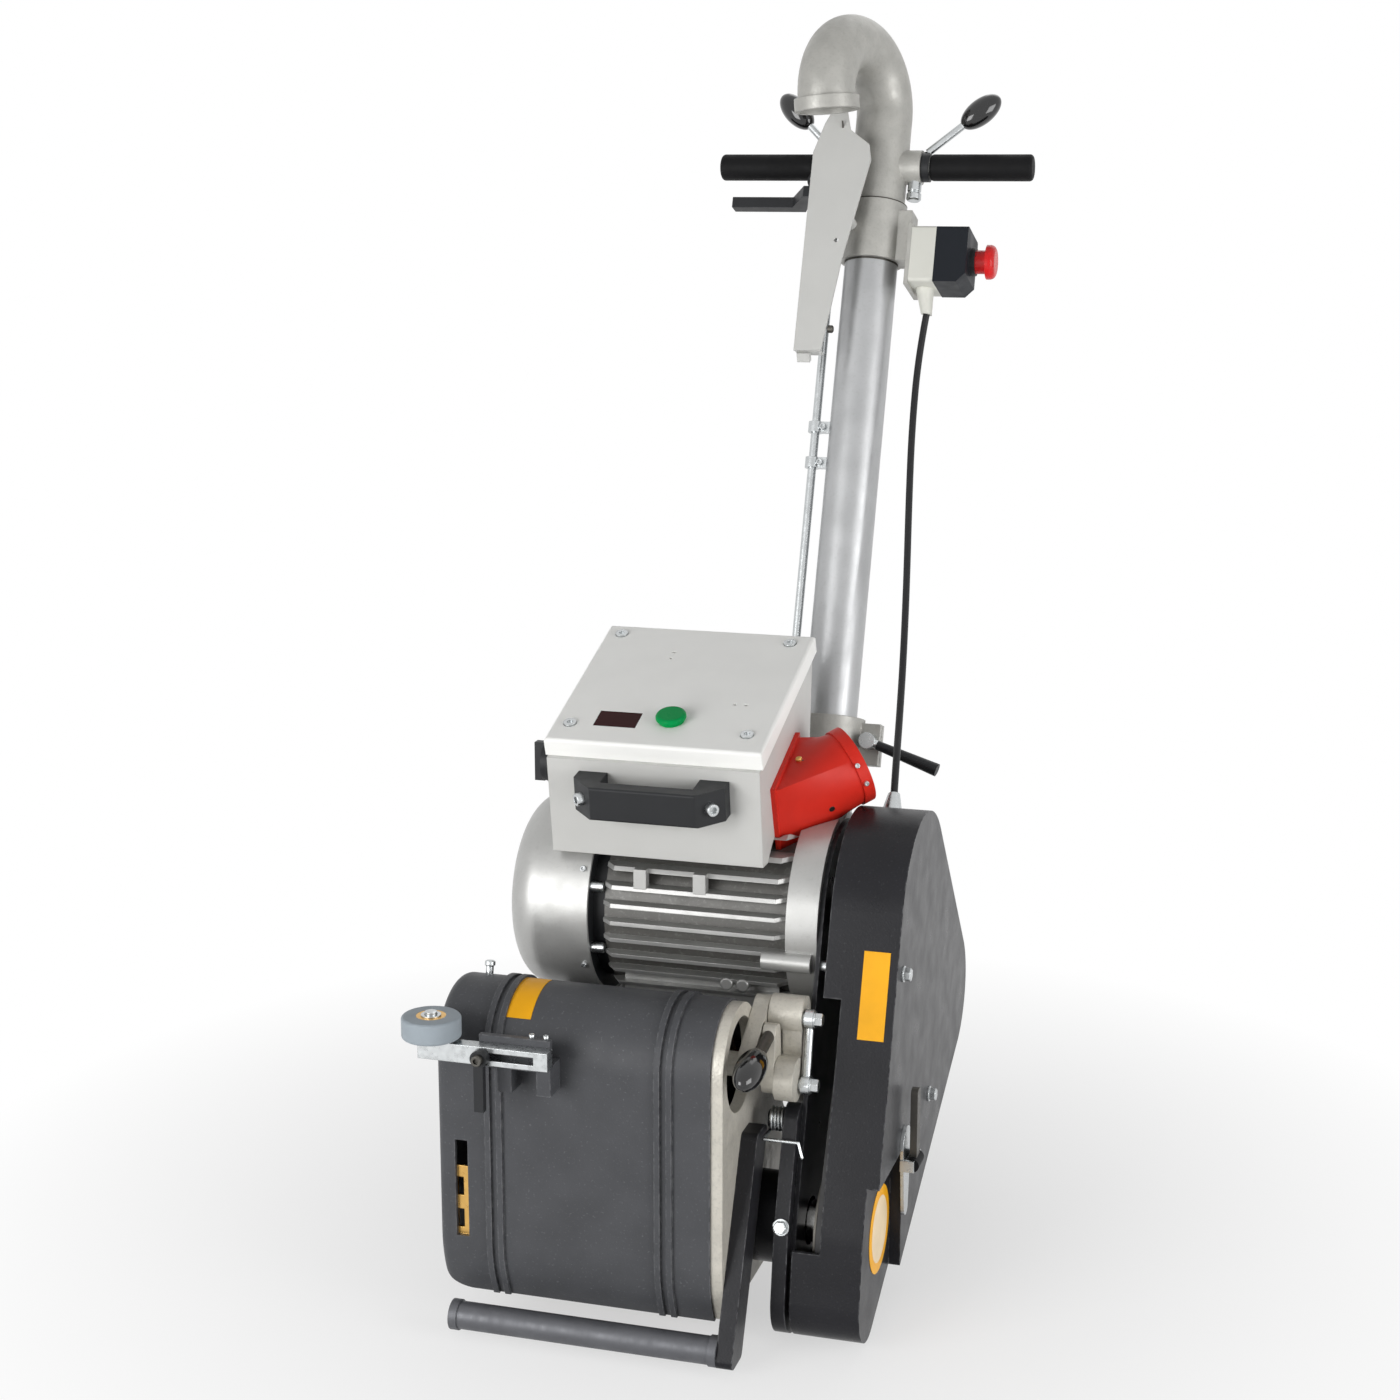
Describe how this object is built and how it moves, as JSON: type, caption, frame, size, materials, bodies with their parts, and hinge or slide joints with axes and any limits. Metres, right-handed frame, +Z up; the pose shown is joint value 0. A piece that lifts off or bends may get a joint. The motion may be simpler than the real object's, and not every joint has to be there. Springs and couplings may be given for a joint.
{
  "type": "belt floor sander",
  "caption": "Upright belt floor sander with finned motor, control box, belt guard, leaning dust tube mast with handlebars, wall guide roller and lever-lifted rear wheels.",
  "frame": {"origin": "on the floor, under the middle of the machine's box", "axes": "+Z up, -Y to the front (the belt cover), +X to the machine's right seen from the front"},
  "size_m": [0.388, 0.6809, 1.0817],
  "materials": {
    "chassis": "light grey paint",
    "hinge_pins": "zinc plated steel",
    "belt_cover": "satin charcoal paint",
    "side_door": "satin charcoal paint",
    "front_bumper_bar": "zinc plated steel",
    "bumper_leg": "satin charcoal paint",
    "guide_bracket": "satin charcoal paint",
    "guide_bar": "zinc plated steel",
    "guide_wheel": "grey rubber tyre on a brass hub",
    "guide_clamp_lever": "black paint",
    "sanding_belt": "coated abrasive cloth",
    "drum_core": "bare casting",
    "drum_rubber": "black rubber",
    "drum_pulley": "cast iron",
    "bearing_housing": "satin charcoal paint",
    "ball_bearings": "zinc plated steel",
    "tension_roller": "bare casting",
    "tension_arm": "bare casting",
    "tension_bracket": "bare casting",
    "tension_lever": "black knob on a steel lever",
    "tracking_link": "zinc plated steel",
    "tension_spring": "zinc plated steel",
    "guard_backplate": "satin charcoal paint",
    "belt_guard": "satin charcoal paint",
    "drive_belts": "black rubber",
    "guard_latch": "black rubber",
    "motor_housing": "silver metallic paint",
    "motor_end_shields": "silver metallic paint",
    "fan_cowl": "silver metallic paint",
    "motor_stator": "wound laminations",
    "motor_rotor": "rotor with shaft",
    "fan_housing": "silver metallic paint",
    "fan_impeller": "bare casting",
    "suction_duct": "light grey paint",
    "control_box": "light grey paint",
    "control_lid": "light grey powder coat",
    "start_button": "green button",
    "bridge_handle": "black plastic",
    "main_switch": "black plastic",
    "power_inlet": "red housing",
    "tube_clamp": "bare casting",
    "tube_clamp_lever": "black plastic",
    "dust_tube": "silver metallic paint",
    "tube_collar": "bare casting",
    "handle_head": "bare casting",
    "handlebars": "zinc plated steel",
    "handle_grips": "black rubber",
    "clamp_lever_left": "black plastic",
    "clamp_lever_right": "black plastic",
    "lift_lever": "black plastic",
    "lift_rod": "zinc plated steel",
    "linkage_cover": "light grey paint",
    "estop_box": "dark cover on a light grey base",
    "estop_button": "red button",
    "cable_glands": "grey plastic",
    "estop_cable": "black sheath",
    "wheel_carriage": "satin charcoal paint",
    "wheel_left": "rubber wheel",
    "wheel_right": "rubber wheel",
    "small_fittings": "zinc plated steel"
  },
  "bodies": {
    "machine": {"chassis": "chassis", "hinge_pins": "hinge_pins", "belt_cover": "belt_cover", "front_bumper_bar": "front_bumper_bar", "bumper_leg": "bumper_leg", "guide_bracket": "guide_bracket", "sanding_belt": "sanding_belt", "bearing_housing": "bearing_housing", "ball_bearings": "ball_bearings", "tension_bracket": "tension_bracket", "tracking_link": "tracking_link", "tension_spring": "tension_spring", "guard_backplate": "guard_backplate", "belt_guard": "belt_guard", "drive_belts": "drive_belts", "motor_housing": "motor_housing", "motor_end_shields": "motor_end_shields", "fan_cowl": "fan_cowl", "motor_stator": "motor_stator", "fan_housing": "fan_housing", "suction_duct": "suction_duct", "control_box": "control_box", "control_lid": "control_lid", "bridge_handle": "bridge_handle", "power_inlet": "power_inlet", "tube_clamp": "tube_clamp", "dust_tube": "dust_tube", "tube_collar": "tube_collar", "handle_head": "handle_head", "handlebars": "handlebars", "handle_grips": "handle_grips", "linkage_cover": "linkage_cover", "estop_box": "estop_box", "cable_glands": "cable_glands", "estop_cable": "estop_cable", "small_fittings": "small_fittings"},
    "door": {"side_door": "side_door"},
    "guide": {"guide_bar": "guide_bar"},
    "guide_roller": {"guide_wheel": "guide_wheel"},
    "guide_clamp": {"guide_clamp_lever": "guide_clamp_lever"},
    "drum": {"drum_core": "drum_core", "drum_rubber": "drum_rubber", "drum_pulley": "drum_pulley"},
    "roller_arm": {"tension_arm": "tension_arm"},
    "roller": {"tension_roller": "tension_roller"},
    "belt_lever": {"tension_lever": "tension_lever"},
    "latch": {"guard_latch": "guard_latch"},
    "rotor": {"motor_rotor": "motor_rotor"},
    "impeller": {"fan_impeller": "fan_impeller"},
    "start": {"start_button": "start_button"},
    "switch": {"main_switch": "main_switch"},
    "tube_lever": {"tube_clamp_lever": "tube_clamp_lever"},
    "left_lock": {"clamp_lever_left": "clamp_lever_left"},
    "right_lock": {"clamp_lever_right": "clamp_lever_right"},
    "lift_handle": {"lift_lever": "lift_lever"},
    "push_rod": {"lift_rod": "lift_rod"},
    "stop": {"estop_button": "estop_button"},
    "carriage": {"wheel_carriage": "wheel_carriage"},
    "left_wheel": {"wheel_left": "wheel_left"},
    "right_wheel": {"wheel_right": "wheel_right"}
  },
  "joints": [
    {"name": "drum_spin", "type": "hinge", "parent": "machine", "child": "drum", "pos_m": [-0.055, -0.18046, 0.0875], "axis": [1, 0, 0], "continuous": true},
    {"name": "motor_spin", "type": "hinge", "parent": "machine", "child": "rotor", "pos_m": [-0.055, -0.06846, 0.322], "axis": [1, 0, 0], "continuous": true},
    {"name": "fan_spin", "type": "hinge", "parent": "machine", "child": "impeller", "pos_m": [0.048, 0.08154, 0.203], "axis": [1, 0, 0], "continuous": true},
    {"name": "belt_lever_turn", "type": "hinge", "parent": "machine", "child": "belt_lever", "pos_m": [0.0825, -0.21446, 0.224], "axis": [1, 0, 0], "range_deg": [0, 60]},
    {"name": "roller_arm_swing", "type": "hinge", "parent": "machine", "child": "roller_arm", "pos_m": [0.0825, -0.18846, 0.27], "axis": [1, 0, 0], "range_deg": [0, 8]},
    {"name": "roller_spin", "type": "hinge", "parent": "roller_arm", "child": "roller", "pos_m": [-0.055, -0.23646, 0.241], "axis": [1, 0, 0], "continuous": true},
    {"name": "door_swing", "type": "hinge", "parent": "machine", "child": "door", "pos_m": [-0.13725, -0.06446, 0.0875], "axis": [0, 0, -1], "range_deg": [0, 110]},
    {"name": "guide_slide", "type": "slide", "parent": "machine", "child": "guide", "axis": [-1, 0, 0], "range_m": [0, 0.04]},
    {"name": "guide_wheel_spin", "type": "hinge", "parent": "guide", "child": "guide_roller", "pos_m": [-0.17, -0.31646, 0.277], "axis": [0, 0, 1], "continuous": true},
    {"name": "guide_clamp_turn", "type": "hinge", "parent": "machine", "child": "guide_clamp", "pos_m": [-0.125, -0.31646, 0.2585], "axis": [0, 1, 0], "range_deg": [0, 80]},
    {"name": "guard_latch_open", "type": "hinge", "parent": "machine", "child": "latch", "pos_m": [0.1865, -0.13446, 0.131], "axis": [0, 1, 0], "range_deg": [0, 90]},
    {"name": "wheel_carriage_swing", "type": "hinge", "parent": "machine", "child": "carriage", "pos_m": [0.009, -0.03071, 0.16645], "axis": [-1, 0, 0], "range_deg": [0, 2.5]},
    {"name": "push_rod_slide", "type": "slide", "parent": "machine", "child": "push_rod", "axis": [0, -0.3338, -0.9426], "range_m": [0, 0.00229]},
    {"name": "lift_handle_pull", "type": "hinge", "parent": "machine", "child": "lift_handle", "pos_m": [-0.002, 0.25137, 0.93007], "axis": [0, 0.9426, -0.3338], "range_deg": [0, 11.01]},
    {"name": "left_wheel_spin", "type": "hinge", "parent": "carriage", "child": "left_wheel", "pos_m": [-0.139, 0.15954, 0.06], "axis": [1, 0, 0], "continuous": true},
    {"name": "right_wheel_spin", "type": "hinge", "parent": "carriage", "child": "right_wheel", "pos_m": [0.083, 0.15954, 0.06], "axis": [1, 0, 0], "continuous": true},
    {"name": "tube_clamp_turn", "type": "hinge", "parent": "machine", "child": "tube_lever", "pos_m": [0.089, 0.11254, 0.42717], "axis": [0, 0.9426, -0.3338], "range_deg": [0, 60]},
    {"name": "left_lock_turn", "type": "hinge", "parent": "machine", "child": "left_lock", "pos_m": [0.003, 0.29513, 0.9428], "axis": [1, 0, 0], "range_deg": [0, 60]},
    {"name": "right_lock_turn", "type": "hinge", "parent": "machine", "child": "right_lock", "pos_m": [0.093, 0.29513, 0.9428], "axis": [1, 0, 0], "range_deg": [0, 60]},
    {"name": "stop_press", "type": "slide", "parent": "machine", "child": "stop", "axis": [-1, 0, 0], "range_m": [0, 0.005]},
    {"name": "start_press", "type": "slide", "parent": "machine", "child": "start", "axis": [0, 0.342, -0.9397], "range_m": [0, 0.003], "stiffness_N_per_m": 400},
    {"name": "main_switch_turn", "type": "hinge", "parent": "machine", "child": "switch", "pos_m": [-0.126, -0.13646, 0.454], "axis": [-1, 0, 0], "range_deg": [0, 90]}
  ],
  "couplings": [
    {"joint": "roller_spin", "follows": "drum_spin", "ratio": 2.4571},
    {"joint": "motor_spin", "follows": "drum_spin", "ratio": 1.12},
    {"joint": "fan_spin", "follows": "drum_spin", "ratio": 2},
    {"joint": "roller_arm_swing", "follows": "belt_lever_turn", "ratio": 0.13333},
    {"joint": "push_rod_slide", "follows": "wheel_carriage_swing", "m_per_rad": 0.048},
    {"joint": "lift_handle_pull", "follows": "wheel_carriage_swing", "ratio": 4.3636}
  ]
}
